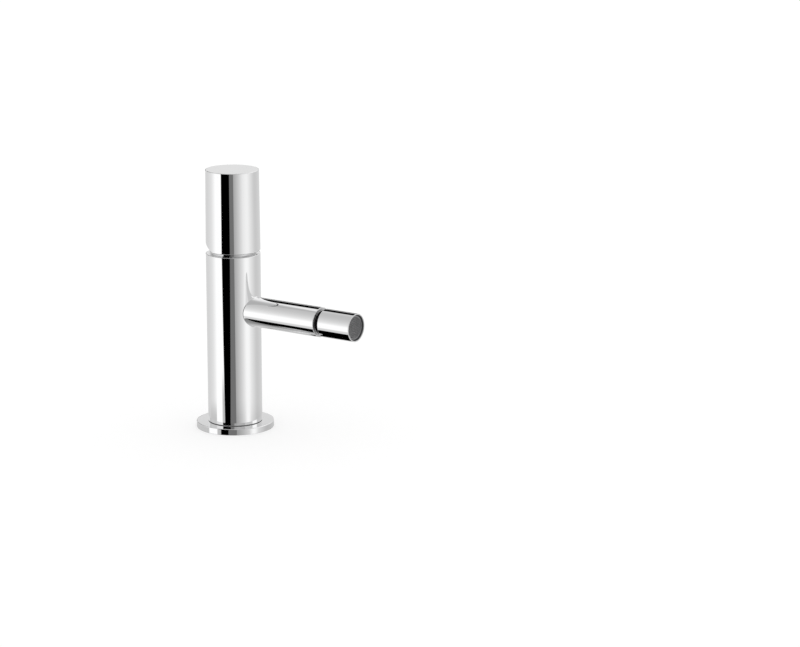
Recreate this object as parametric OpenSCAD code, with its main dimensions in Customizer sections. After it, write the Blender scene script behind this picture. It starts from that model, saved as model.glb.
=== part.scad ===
// Single-lever bidet mixer: turned body on a round flange, straight spout, ball-jointed nozzle.
// Deck plane at z = 0, body axis on Z, spout along +X. Millimetres.

/* [Body] */
// Diameter of the body, and of the handle's lower edge
body_d = 35; // [31.5:0.5:42]
// Height of the body's top face above the deck
body_top = 114.7; // [105:0.1:150]
// Edge break on the body and the handle
edge = 0.4; // [0.2:0.1:0.6]
// Diameter of the spigot that centres the body in the flange
spigot_d = 29.8; // [28:0.2:31]

/* [Flange] */
// Diameter of the base flange
flange_d = 50; // [48:1:64]
// Thickness of the base flange
flange_t = 4; // [3.6:0.1:8]
// Edge break on the flange's upper rim
flange_edge = 0.4; // [0.2:0.1:1]
// Width of the sealing ring under the flange
gasket_w = 4; // [3:0.5:4.5]
// Thickness of the sealing ring
gasket_t = 2; // [1.5:0.1:2.6]
// Distance from the flange's rim to the sealing ring
gasket_inset = 3; // [2:0.5:3.5]
// Thickness of the ring between the flange and the body
foot_ring_t = 0.35; // [0.2:0.05:0.6]
// How far that ring stays back from the body's surface
foot_ring_inset = 0.35; // [0.2:0.05:0.6]

/* [Inlets] */
// Tapping diameter of the two inlet ports
inlet_d = 9; // [8.4:0.1:9.5]
// Depth of the inlet ports
inlet_depth = 14; // [10:1:24]
// Distance of each inlet port from the middle plane
inlet_y = 7; // [6.5:0.1:7.2]
// Tapping diameter of the hole for the fixing stud
stud_d = 6.8; // [5:0.1:7]
// Depth of the stud hole
stud_depth = 16; // [10:1:30]
// Distance of the stud hole in front of the body's axis
stud_x = 9; // [8:0.5:10]

/* [Spout] */
// Diameter of the spout
spout_d = 19; // [18.4:0.2:22]
// Distance of the spout's axis below the body's top face
spout_drop = 36.6; // [36:0.1:60]
// Distance of the spout's open end from the body's axis
spout_reach = 69.6; // [56:0.2:110]
// Diameter of the waterway in the spout
waterway_d = 10; // [8:0.5:11]
// Diameter of the spout's tail inside the body
tail_d = 14; // [13:0.2:16]
// Length of the tail below the body's surface
tail_l = 6; // [4:0.5:8]

/* [Nozzle] */
// Diameter of the nozzle
nozzle_d = 18; // [17.6:0.2:22]
// Length of the nozzle
nozzle_l = 23.8; // [19:0.2:40]
// Gap between the spout's end and the nozzle
nozzle_gap = 3; // [3:0.1:6]
// Edge break on the nozzle and the spout's end
nozzle_edge = 0.3; // [0.1:0.1:0.6]
// Largest tilt of the nozzle to each side
nozzle_tilt = 14; // [8:1:14]
// Diameter of the swivel ball
ball_d = 13; // [12:0.2:13.4]
// Diameter of the ball's neck
neck_d = 8.8; // [7:0.2:9]
// Depth of the aerator behind the nozzle's rim
aerator_recess = 1; // [0.3:0.1:2]
// Spacing of the holes in the aerator screen
screen_pitch = 1.9; // [1.6:0.1:3]
// Diameter of the holes in the aerator screen
screen_hole_d = 1.2; // [0.8:0.1:1.3]

/* [Handle] */
// Height of the handle
handle_h = 52.2; // [45:0.1:90]
// Gap between the body's top face and the handle
handle_gap = 2; // [2:0.1:5]
// How much narrower the handle is at its top
handle_taper = 0.85; // [0:0.05:1.2]
// Thickness of the handle's skirt
handle_wall = 1.6; // [1.2:0.1:1.8]
// Thickness of the handle's top
handle_cap = 3; // [2:0.5:6]
// Distance behind the axis at which the rear cut starts
notch_start = 3.5; // [3:0.1:5]
// Slope of the rear cut
notch_angle = 26.5; // [26:0.5:32]
// Largest backward tilt of the handle
tilt_max = 25; // [15:1:25]
// Diameter of the grub screw
grub_d = 5; // [4:0.5:6]
// Length of the grub screw
grub_l = 10; // [6:1:12]

/* [Cartridge] */
// Diameter of the cartridge
cartridge_d = 25; // [22.5:0.5:28]
// Wall of the cartridge housing
housing_wall = 1.6; // [1.4:0.1:1.8]
// How far the retaining nut's thread stands out past the cartridge
nut_lip = 1.5; // [1.2:0.1:2]
// Height of the retaining nut
nut_h = 8.3; // [7:0.1:8.6]
// Gap between the trim collar and the inside of the handle
collar_gap = 0.9; // [0.6:0.1:1.4]
// Width of the trim collar
collar_w = 3; // [2:0.1:4]
// Height of the trim collar
collar_h = 2.6; // [1.6:0.1:2.8]
// Height of the lever's pivot above the body's top face
pivot_rise = 3; // [2.8:0.1:4]
// Distance from the lever's pivot down to its ball end
arm_l = 12; // [11:0.1:12.2]
// Thickness of each ceramic disc
disc_t = 3; // [2.5:0.1:3.5]
// Room left round the moving ceramic disc at the ends of its travel
disc_side = 0.8; // [0.4:0.1:1.2]
// Thickness of the cartridge base
base_t = 5; // [4.6:0.1:6]
// Diameter of the two inlet holes through the cartridge
feed_d = 4.4; // [3.6:0.1:4.8]
// Diameter of the outlet hole through the cartridge
drain_d = 5.2; // [4.4:0.1:5.6]

/* [Clearances] */
// Gap of a part that is seated and does not move
seat_gap = 0.1; // [0.05:0.01:0.15]
// Radial gap of a running fit
run_gap = 0.08; // [0.04:0.01:0.1]
// Gap between parts that pass each other freely
free_gap = 0.3; // [0.3:0.05:0.4]
// Water film between the ceramic discs
film_gap = 0.02; // [0.02:0.01:0.05]

/* [Hidden] */
$fn = 96;
cut = 1;

// Radii of the driving diameters
body_r = body_d / 2;
flange_r = flange_d / 2;
spigot_r = spigot_d / 2;
spout_r = spout_d / 2;
nozzle_r = nozzle_d / 2;
ball_r = ball_d / 2;
neck_r = neck_d / 2;
cartridge_r = cartridge_d / 2;
nut_r = cartridge_r + nut_lip;
feed_r = feed_d / 2;
drain_r = drain_d / 2;
grub_r = grub_d / 2;

// Lever, with its ball end in the disc carrier
pivot_z = body_top + pivot_rise;
pin_d = 3;
pin_r = pin_d / 2;
lever_w = 6;
hub_r = 3.2;
arm_r = 1.8;
tip_r = 2.5;
tip_z = pivot_z - arm_l;
disc_travel = arm_l * sin(tilt_max);

// Disc carrier
socket_gap = 0.35;
socket_r = tip_r + socket_gap;
socket_lip = 1.5;
socket_clear = 0.5;
carrier_floor = 2;
carrier_top = tip_z + socket_lip;
carrier_step = tip_z - tip_r - socket_clear;
carrier_bottom = carrier_step - carrier_floor;
carrier_half_w = 4.2;
carrier_front = 4.5;
carrier_rear = 6;
carrier_l = carrier_rear + carrier_front;
carrier_h = carrier_top - carrier_bottom;
disc_offset = -disc_travel / 2;
cavity_r = cartridge_r - housing_wall;
moving_disc_r = cavity_r - disc_travel / 2 - disc_side;

// Stack of discs and base, from the carrier down to the seat in the body
moving_z = carrier_bottom - disc_t;
fixed_z = moving_z - film_gap - disc_t;
seat_z = fixed_z - base_t;
base_step = 3;
chamber_r = 5;
chamber_depth = 1.4;

// Seals in the cartridge base: one ring round it, and one round each water hole
oring_side = 0.1;
base_oring_r = 0.75;
base_oring_z = seat_z + base_step / 2;
base_oring_reach = cartridge_r + seat_gap;
seal_land = 0.3;
seal_w = 1;
seal_t = 1.2;
seal_side = 0.8;
seal_limit = base_oring_reach - 2 * base_oring_r - seal_side;

// Water holes in the seat, the base and the fixed disc, as far out as their seals allow
feed_angle = 55;
feed_ring = seal_limit - seal_w - seal_land - feed_r;
feed_x = -feed_ring * cos(feed_angle);
feed_y = feed_ring * sin(feed_angle);
drain_x = seal_limit - seal_w - seal_land - drain_r;

// Cartridge housing
shoulder_w = 0.6;
housing_neck_r = cartridge_r - shoulder_w;
housing_z = seat_z + base_step;
nut_recess = 0.2;
nut_top = body_top - nut_recess;
nut_z = nut_top - nut_h;
nut_slot_w = 3;
nut_slot_t = 2;
thread_relief = 1.2;

// Turret that turns in the housing
turret_z = carrier_top + free_gap;
turret_flange_t = 3;
turret_flange_r = cavity_r - free_gap;
lip_w = 1.7;
turret_neck_r = cavity_r - lip_w;
turret_rise = 3.3;
turret_top = pivot_z + turret_rise;
turret_oring_r = 0.9;
turret_oring_rise = 1.9;
turret_oring_reach = turret_neck_r + run_gap / 2;
lip_r = turret_neck_r + run_gap;
lip_z = turret_z + turret_flange_t + run_gap;
slot_w = lever_w + 2 * free_gap;
slot_side = hub_r + free_gap + seat_gap;
slot_front = disc_travel + tip_r + free_gap;
slot_rear = turret_rise * tan(tilt_max) + lever_w / 2 / cos(tilt_max) + 2 * free_gap;
rib_l = 12;
rib_w = 2.7;
rib_h = 2.8;
pin_inset = 0.4;

// Handle
handle_z = body_top + handle_gap;
handle_top = handle_z + handle_h;
handle_r = body_r;
handle_top_r = body_r - handle_taper / 2;
handle_bore_r = body_r - handle_wall;
collar_r = handle_bore_r - collar_gap;
insert_rise = 10;
insert_z = handle_z + insert_rise;
insert_h = 20;
lever_grip = 16;
lever_top = insert_z + lever_grip;
grub_rise = 6;
grub_z = insert_z + grub_rise;
grub_key_w = 2.5;
grub_key_t = 3;

// Spout and its ball joint
spout_z = body_top - spout_drop;
tail_x = body_r - tail_l;
joint_inset = 8.6;
joint_x = spout_reach - joint_inset;
chamber_wall = 1.5;
joint_bore_r = spout_r - chamber_wall;
seat_ring_bore_r = 4.5;
seat_ring_back = 7.4;
seat_ring_front = -1;
retainer_back = -0.5;
retainer_recess = 0.5;
retainer_grip = 3;
ball_flat = 5;
ball_bore_r = 2.5;
ball_oring_r = 0.8;
ball_oring_angle = 45;

// Nozzle and aerator
nozzle_x = spout_reach + nozzle_gap;
nozzle_end = nozzle_x + nozzle_l;
nozzle_back_t = 4;
nozzle_rim = 0.7;
nozzle_wall = 1.5;
nozzle_bore_r = nozzle_r - nozzle_wall;
aerator_r = nozzle_r - nozzle_rim;
aerator_end = nozzle_end - aerator_recess;
aerator_l = 4;
aerator_seal_t = 1.2;
aerator_seal_w = 1.8;
aerator_rim = 0.8;
aerator_bore_r = 7.2;
screen_t = 1;
screen_r = aerator_r - aerator_rim;
screen_edge = 0.6;

// Height of the spigot's lower end above the deck, and of the shoulder the body stands on
deck_gap = 0.5;
foot_z = flange_t + foot_ring_t;

// Places children whose axis is Z so that it runs along the spout, from x outwards
module along_spout(x) {
    translate([x, 0, spout_z])
        rotate([0, 90, 0])
            children();
}

// Ring with a rectangular section, standing on z
module flat_ring(outer_r, inner_r, z, h) {
    translate([0, 0, z])
        rotate_extrude()
            translate([inner_r, 0])
                square([outer_r - inner_r, h]);
}

// Ring with a round section, out to the given reach, with its middle at z
module round_ring(reach, section_r, z) {
    translate([0, 0, z])
        rotate_extrude()
            translate([reach - section_r, 0])
                circle(section_r);
}

// Square groove that such a ring lies in
module ring_groove(reach, section_r, z) {
    flat_ring(
        reach + cut,
        reach - 2 * section_r,
        z - section_r - oring_side,
        2 * (section_r + oring_side)
    );
}

// Half of a disc, the section of a ball to be turned about its axis
module half_disc(r) {
    intersection() {
        circle(r);
        translate([0, -r])
            square([r, 2 * r]);
    }
}

// The three water holes, through whatever lies between z and z + h
module water_holes(z, h) {
    for (side = [-1, 1])
        translate([feed_x, side * feed_y, z])
            cylinder(r = feed_r, h = h);
    translate([drain_x, 0, z])
        cylinder(r = drain_r, h = h);
}

// Sealing ring round one water hole, in the underside of the cartridge base
module port_seal(x, y, hole_r) {
    translate([x, y, 0])
        flat_ring(hole_r + seal_land + seal_w, hole_r + seal_land, seat_z, seal_t);
}

module seal_hot() {
    color("dimgray")
        port_seal(feed_x, feed_y, feed_r);
}

module seal_cold() {
    color("dimgray")
        port_seal(feed_x, -feed_y, feed_r);
}

module seal_outlet() {
    color("dimgray")
        port_seal(drain_x, 0, drain_r);
}

// Turned body with the cartridge well, the water ways and the tapped holes
module body() {
    color("silver")
        difference() {
            rotate_extrude()
                polygon([
                    [0, deck_gap],
                    [spigot_r, deck_gap],
                    [spigot_r, foot_z],
                    [body_r, foot_z],
                    [body_r, body_top - edge],
                    [body_r - edge, body_top],
                    [0, body_top]
                ]);
            translate([0, 0, seat_z])
                cylinder(r = cartridge_r + seat_gap, h = body_top - seat_z + cut);
            translate([0, 0, nut_z - thread_relief])
                cylinder(r = nut_r, h = body_top - nut_z + thread_relief + cut);
            for (side = [-1, 1]) {
                translate([feed_x, side * feed_y, deck_gap + inlet_depth - cut])
                    cylinder(r = feed_r, h = seat_z - deck_gap - inlet_depth + 2 * cut);
                translate([feed_x, side * inlet_y, deck_gap - cut])
                    cylinder(d = inlet_d, h = inlet_depth + cut);
            }
            translate([stud_x, 0, deck_gap - cut])
                cylinder(d = stud_d, h = stud_depth + cut);
            translate([drain_x, 0, spout_z])
                cylinder(r = drain_r, h = seat_z - spout_z + cut);
            along_spout(drain_x - drain_r)
                cylinder(d = waterway_d, h = body_r);
            along_spout(tail_x)
                cylinder(d = tail_d, h = tail_l + cut);
        }
}

// Straight spout, saddled on the body, with the bore for the ball joint
module spout_tube() {
    color("silver")
        difference() {
            union() {
                difference() {
                    along_spout(0)
                        rotate_extrude()
                            polygon([
                                [0, 0],
                                [spout_r, 0],
                                [spout_r, spout_reach - nozzle_edge],
                                [spout_r - nozzle_edge, spout_reach],
                                [0, spout_reach]
                            ]);
                    translate([0, 0, spout_z - spout_d])
                        cylinder(r = body_r, h = 2 * spout_d);
                }
                along_spout(tail_x)
                    cylinder(d = tail_d, h = tail_l + cut);
            }
            along_spout(tail_x - cut)
                cylinder(d = waterway_d, h = spout_reach);
            along_spout(joint_x - seat_ring_back)
                cylinder(r = joint_bore_r, h = spout_reach);
        }
}

// Round flange with the groove for its sealing ring
module base_flange() {
    color("silver")
        difference() {
            rotate_extrude()
                polygon([
                    [spigot_r + seat_gap, 0],
                    [flange_r, 0],
                    [flange_r, flange_t - flange_edge],
                    [flange_r - flange_edge, flange_t],
                    [spigot_r + seat_gap, flange_t]
                ]);
            flat_ring(flange_r - gasket_inset, flange_r - gasket_inset - gasket_w, -cut, gasket_t + cut);
        }
}

module base_gasket() {
    color("dimgray")
        flat_ring(flange_r - gasket_inset, flange_r - gasket_inset - gasket_w, 0, gasket_t);
}

// Thin ring that the body's shoulder stands on
module foot_ring() {
    color("dimgray")
        flat_ring(body_r - foot_ring_inset, spigot_r + seat_gap, flange_t, foot_ring_t);
}

// Cartridge base: a step for the housing, grooves for the three seals and the outer ring
module cartridge_base() {
    color("white")
        difference() {
            union() {
                translate([0, 0, seat_z])
                    cylinder(r = cartridge_r, h = base_step);
                translate([0, 0, seat_z])
                    cylinder(r = cavity_r - seat_gap, h = base_t);
            }
            water_holes(seat_z - cut, base_t + 2 * cut);
            port_seal(feed_x, feed_y, feed_r);
            port_seal(feed_x, -feed_y, feed_r);
            port_seal(drain_x, 0, drain_r);
            ring_groove(base_oring_reach, base_oring_r, base_oring_z);
        }
}

module base_oring() {
    color("dimgray")
        round_ring(base_oring_reach, base_oring_r, base_oring_z);
}

module fixed_disc() {
    color("ivory")
        difference() {
            translate([0, 0, fixed_z])
                cylinder(r = cavity_r - seat_gap, h = disc_t);
            water_holes(fixed_z - cut, disc_t + 2 * cut);
        }
}

// Cartridge housing: a shoulder for the nut outside, a lip over the turret inside
module cartridge_housing() {
    color("white")
        rotate_extrude()
            polygon([
                [cavity_r, housing_z],
                [cartridge_r, housing_z],
                [cartridge_r, nut_z],
                [housing_neck_r, nut_z],
                [housing_neck_r, nut_top],
                [lip_r, nut_top],
                [lip_r, lip_z],
                [cavity_r, lip_z]
            ]);
}

// Retaining nut with two slots for a spanner across its top
module retaining_nut() {
    color("goldenrod")
        difference() {
            flat_ring(nut_r, housing_neck_r + seat_gap, nut_z, nut_h);
            for (turn = [0, 90])
                rotate([0, 0, turn])
                    translate([-2 * nut_r, -nut_slot_w / 2, nut_top - nut_slot_t])
                        cube([4 * nut_r, nut_slot_w, nut_slot_t + cut]);
        }
}

module trim_collar() {
    color("silver")
        flat_ring(collar_r, collar_r - collar_w, body_top, collar_h);
}

// Turret: flange under the housing's lip, neck with the lever's slot, ribs that guide the carrier
module turret() {
    color("whitesmoke")
        difference() {
            union() {
                translate([0, 0, turret_z])
                    cylinder(r = turret_flange_r, h = turret_flange_t);
                translate([0, 0, turret_z])
                    cylinder(r = turret_neck_r, h = turret_top - turret_z);
                for (side = [0, 180])
                    rotate([0, 0, side])
                        translate([-rib_l / 2, carrier_half_w + run_gap, turret_z - rib_h])
                            cube([rib_l, rib_w, rib_h + cut]);
            }
            translate([0, slot_w / 2, 0])
                rotate([90, 0, 0])
                    linear_extrude(slot_w)
                        polygon([
                            [-slot_side, turret_z - cut],
                            [slot_front, turret_z - cut],
                            [slot_front, turret_z],
                            [slot_side, pivot_z],
                            [slot_side, turret_top + cut],
                            [-slot_rear, turret_top + cut],
                            [-slot_rear, turret_top],
                            [-slot_side, pivot_z]
                        ]);
            translate([0, turret_neck_r - pin_inset, pivot_z])
                rotate([90, 0, 0])
                    cylinder(r = pin_r, h = 2 * (turret_neck_r - pin_inset));
            ring_groove(turret_oring_reach, turret_oring_r, lip_z + turret_oring_rise);
        }
}

module turret_oring() {
    color("dimgray")
        round_ring(turret_oring_reach, turret_oring_r, lip_z + turret_oring_rise);
}

module pivot_pin() {
    color("lightsteelblue")
        translate([0, turret_neck_r - pin_inset, pivot_z])
            rotate([90, 0, 0])
                cylinder(r = pin_r, h = 2 * (turret_neck_r - pin_inset));
}

// Lever: square bar above the pivot, round arm with a ball end below it
module lever() {
    color("lightsteelblue")
        difference() {
            union() {
                translate([-lever_w / 2, -lever_w / 2, pivot_z])
                    cube([lever_w, lever_w, lever_top - pivot_z]);
                translate([0, lever_w / 2, pivot_z])
                    rotate([90, 0, 0])
                        cylinder(r = hub_r, h = lever_w);
                translate([0, 0, tip_z])
                    cylinder(r = arm_r, h = arm_l);
                translate([0, 0, tip_z])
                    sphere(r = tip_r);
            }
            translate([0, lever_w, pivot_z])
                rotate([90, 0, 0])
                    cylinder(r = pin_r + run_gap, h = 2 * lever_w);
        }
}

// Hollow handle, cut away at the rear so that it can tilt back
module handle() {
    color("silver")
        difference() {
            rotate_extrude()
                polygon([
                    [handle_bore_r, handle_z],
                    [handle_r - edge, handle_z],
                    [handle_r, handle_z + edge],
                    [handle_top_r, handle_top - edge],
                    [handle_top_r - edge, handle_top],
                    [0, handle_top],
                    [0, handle_top - handle_cap],
                    [handle_bore_r, handle_top - handle_cap]
                ]);
            translate([0, body_d, 0])
                rotate([90, 0, 0])
                    linear_extrude(2 * body_d)
                        polygon([
                            [-notch_start, handle_z],
                            [-notch_start - body_d, handle_z + body_d * tan(notch_angle)],
                            [-notch_start - body_d, handle_z - cut],
                            [-notch_start, handle_z - cut]
                        ]);
            translate([-body_r - cut, 0, grub_z])
                rotate([0, 90, 0])
                    cylinder(r = grub_r + seat_gap, h = handle_wall + 2 * cut);
        }
}

// Insert that grips the lever inside the handle
module handle_insert() {
    color("gray")
        difference() {
            translate([0, 0, insert_z])
                cylinder(r = handle_bore_r, h = insert_h);
            translate([-lever_w / 2, -lever_w / 2, insert_z - cut])
                cube([lever_w, lever_w, lever_top - insert_z + cut]);
            translate([-body_r, 0, grub_z])
                rotate([0, 90, 0])
                    cylinder(r = grub_r, h = body_r);
        }
}

module grub_screw() {
    color("lightsteelblue")
        difference() {
            translate([-lever_w / 2 - grub_l, 0, grub_z])
                rotate([0, 90, 0])
                    cylinder(r = grub_r, h = grub_l);
            translate([-lever_w / 2 - grub_l - cut, 0, grub_z])
                rotate([0, 90, 0])
                    cylinder(d = grub_key_w / cos(30), h = grub_key_t + cut, $fn = 6);
        }
}

// Moving disc with the mixing chamber in its underside
module moving_disc() {
    color("ivory")
        translate([disc_offset, 0, moving_z])
            difference() {
                cylinder(r = moving_disc_r, h = disc_t);
                translate([0, 0, -cut])
                    cylinder(r = chamber_r, h = chamber_depth + cut);
            }
}

// Carrier on the moving disc, with a block between the turret's ribs and the lever's socket in it
module disc_carrier() {
    color("white")
        difference() {
            union() {
                translate([disc_offset, 0, carrier_bottom])
                    cylinder(r = moving_disc_r, h = carrier_floor);
                intersection() {
                    translate([disc_offset, 0, carrier_bottom])
                        cylinder(r = moving_disc_r, h = carrier_h);
                    translate([-carrier_rear, -carrier_half_w, carrier_bottom])
                        cube([carrier_l, 2 * carrier_half_w, carrier_h]);
                }
            }
            translate([0, 0, carrier_step])
                cylinder(r = socket_r, h = carrier_top - carrier_step + cut);
        }
}

// Slip ring behind the swivel ball, with a hollow for the ball and a groove for its seal
module ball_seat() {
    color("whitesmoke")
        along_spout(joint_x)
            rotate_extrude()
                difference() {
                    translate([seat_ring_bore_r, -seat_ring_back])
                        square([joint_bore_r - run_gap - seat_ring_bore_r, seat_ring_back + seat_ring_front]);
                    circle(ball_r + run_gap);
                    ball_oring_section();
                }
}

// Section of the ball's seal, just clear of the ball
module ball_oring_section() {
    rotate(-ball_oring_angle)
        translate([ball_r + run_gap / 2 + ball_oring_r, 0])
            circle(ball_oring_r);
}

module ball_oring() {
    color("dimgray")
        along_spout(joint_x)
            rotate_extrude()
                ball_oring_section();
}

// Ring screwed into the spout's end, hollow for the ball and flared for the tilting neck
module ball_retainer() {
    retainer_end = spout_reach - joint_x - retainer_recess;
    flare_r = neck_r / cos(nozzle_tilt) + retainer_end * tan(nozzle_tilt) + free_gap;
    throat_r = sqrt(pow(ball_r + run_gap, 2) - pow(retainer_grip, 2));
    color("darkslategray")
        along_spout(joint_x)
            rotate_extrude()
                difference() {
                    translate([0, retainer_back])
                        square([joint_bore_r, retainer_end - retainer_back]);
                    half_disc(ball_r + run_gap);
                    polygon([
                        [0, retainer_grip],
                        [throat_r, retainer_grip],
                        [flare_r, retainer_end],
                        [flare_r, retainer_end + cut],
                        [0, retainer_end + cut]
                    ]);
                }
}

// Hollow ball with the neck that is screwed into the nozzle
module swivel_ball() {
    color("darkslategray")
        along_spout(joint_x)
            difference() {
                rotate_extrude()
                    difference() {
                        union() {
                            half_disc(ball_r);
                            square([neck_r, nozzle_x - joint_x + nozzle_back_t]);
                        }
                        translate([0, -ball_d])
                            square([ball_r, ball_d - ball_flat]);
                    }
                translate([0, 0, -ball_d])
                    cylinder(r = ball_bore_r, h = nozzle_x - joint_x + 2 * ball_d);
            }
}

// Nozzle shell: back wall on the neck, bore for the aerator at the open end
module nozzle_shell() {
    aerator_back = aerator_end - aerator_l - aerator_seal_t - nozzle_x;
    color("silver")
        along_spout(nozzle_x)
            rotate_extrude()
                polygon([
                    [neck_r, 0],
                    [nozzle_r - nozzle_edge, 0],
                    [nozzle_r, nozzle_edge],
                    [nozzle_r, nozzle_l - nozzle_edge],
                    [nozzle_r - nozzle_edge, nozzle_l],
                    [aerator_r, nozzle_l],
                    [aerator_r, aerator_back],
                    [nozzle_bore_r, aerator_back],
                    [nozzle_bore_r, nozzle_back_t],
                    [neck_r, nozzle_back_t]
                ]);
}

module aerator_seal() {
    color("dimgray")
        along_spout(aerator_end - aerator_l - aerator_seal_t)
            flat_ring(aerator_r, aerator_r - aerator_seal_w, 0, aerator_seal_t);
}

// Aerator housing, stepped at its front for the screen
module aerator_housing() {
    color("darkslategray")
        along_spout(aerator_end - aerator_l)
            rotate_extrude()
                polygon([
                    [aerator_bore_r, 0],
                    [aerator_r, 0],
                    [aerator_r, aerator_l],
                    [screen_r, aerator_l],
                    [screen_r, aerator_l - screen_t],
                    [aerator_bore_r, aerator_l - screen_t]
                ]);
}

// Screen with rows of round holes, as many as fit inside its plain edge
module aerator_screen() {
    reach = screen_r - screen_edge - screen_hole_d / 2;
    rows = ceil(reach / screen_pitch) + 1;
    color("gray")
        along_spout(aerator_end - screen_t)
            difference() {
                cylinder(r = screen_r, h = screen_t);
                for (i = [-rows : rows], j = [-rows : rows]) {
                    x = (i + j / 2) * screen_pitch;
                    y = j * screen_pitch * sin(60);
                    if (norm([x, y]) < reach)
                        translate([x, y, -cut])
                            cylinder(d = screen_hole_d, h = screen_t + 2 * cut);
                }
            }
}

body();
spout_tube();
base_flange();
base_gasket();
foot_ring();
seal_hot();
seal_cold();
seal_outlet();
cartridge_base();
base_oring();
fixed_disc();
cartridge_housing();
retaining_nut();
trim_collar();
ball_retainer();
turret();
turret_oring();
pivot_pin();
lever();
handle();
handle_insert();
grub_screw();
moving_disc();
disc_carrier();
ball_seat();
ball_oring();
swivel_ball();
nozzle_shell();
aerator_seal();
aerator_housing();
aerator_screen();
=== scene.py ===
"""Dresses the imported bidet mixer: plated skins, ball-jointed nozzle, cartridge parts and the studio."""

import functools
import logging
import math
from dataclasses import dataclass, field
from enum import Enum
from typing import Callable, Iterator, Optional, Sequence, Union

import bpy
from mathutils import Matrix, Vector
from mathutils.geometry import delaunay_2d_cdt


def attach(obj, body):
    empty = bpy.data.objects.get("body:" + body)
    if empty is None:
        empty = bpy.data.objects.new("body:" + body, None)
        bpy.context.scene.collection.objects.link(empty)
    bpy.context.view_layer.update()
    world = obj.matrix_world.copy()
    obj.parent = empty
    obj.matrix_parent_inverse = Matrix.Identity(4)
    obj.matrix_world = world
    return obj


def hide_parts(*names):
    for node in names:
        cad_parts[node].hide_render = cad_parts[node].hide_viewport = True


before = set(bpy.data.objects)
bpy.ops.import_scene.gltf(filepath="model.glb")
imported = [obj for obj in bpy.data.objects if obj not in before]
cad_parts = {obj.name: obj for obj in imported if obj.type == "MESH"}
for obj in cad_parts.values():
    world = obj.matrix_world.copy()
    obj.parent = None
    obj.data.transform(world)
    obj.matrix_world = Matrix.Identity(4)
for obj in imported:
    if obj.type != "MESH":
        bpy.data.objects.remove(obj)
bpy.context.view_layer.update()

LOG = logging.getLogger("bidet_mixer")
MM = 0.001
WELD = 0.0001
ROUND_COUNT = 192
BALL_COUNT = 128
RING_COUNT = 96
HOLE_COUNT = 48
EDGE_STEPS = 5

# Rounds of the edges that show little, in millimetres
CRISP, FINE, SMALL, EASED = 0.1, 0.15, 0.2, 0.3

# Measures that several pieces share, in millimetres
COLUMN_R, SPOUT_Z, JOINT_X = 17.5, 78.1, 61.0

Corner = tuple[Vector, Vector]
Span = tuple[float, float]
Triple = tuple[float, float, float]
Colour = Triple
Key = Union[int, str]
Input = Union[float, bpy.types.NodeSocket]


class Body(Enum):
    """The bodies that new pieces ride on."""

    MIXER = "mixer_body"
    HANDLE = "handle_body"
    NOZZLE = "nozzle_body"


class Slot(Enum):
    """The record's material slots."""

    CHROME = "chrome_plate"
    BRASS = "brass"
    RUBBER = "black_rubber"
    ACETAL = "white_acetal"
    CERAMIC = "disc_ceramic"
    STEEL = "steel"
    NYLON = "grey_nylon"
    DARK_ACETAL = "dark_acetal"
    SCREEN = "screen_steel"


class Op(Enum):
    """Sums that shader nodes do."""

    ADD = "ADD"
    SUBTRACT = "SUBTRACT"
    MULTIPLY = "MULTIPLY"
    LARGER = "MAXIMUM"
    SMALLER = "MINIMUM"
    ANGLE = "ARCTAN2"


@dataclass(frozen=True)
class Noise:
    """Noise that lies in the part's own space.

    Attributes:
        scale: Waves per metre.
        detail: Number of finer layers.
        stretch: Scale along each axis.
    """

    scale: float
    detail: float
    stretch: Triple = (1.0, 1.0, 1.0)


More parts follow.
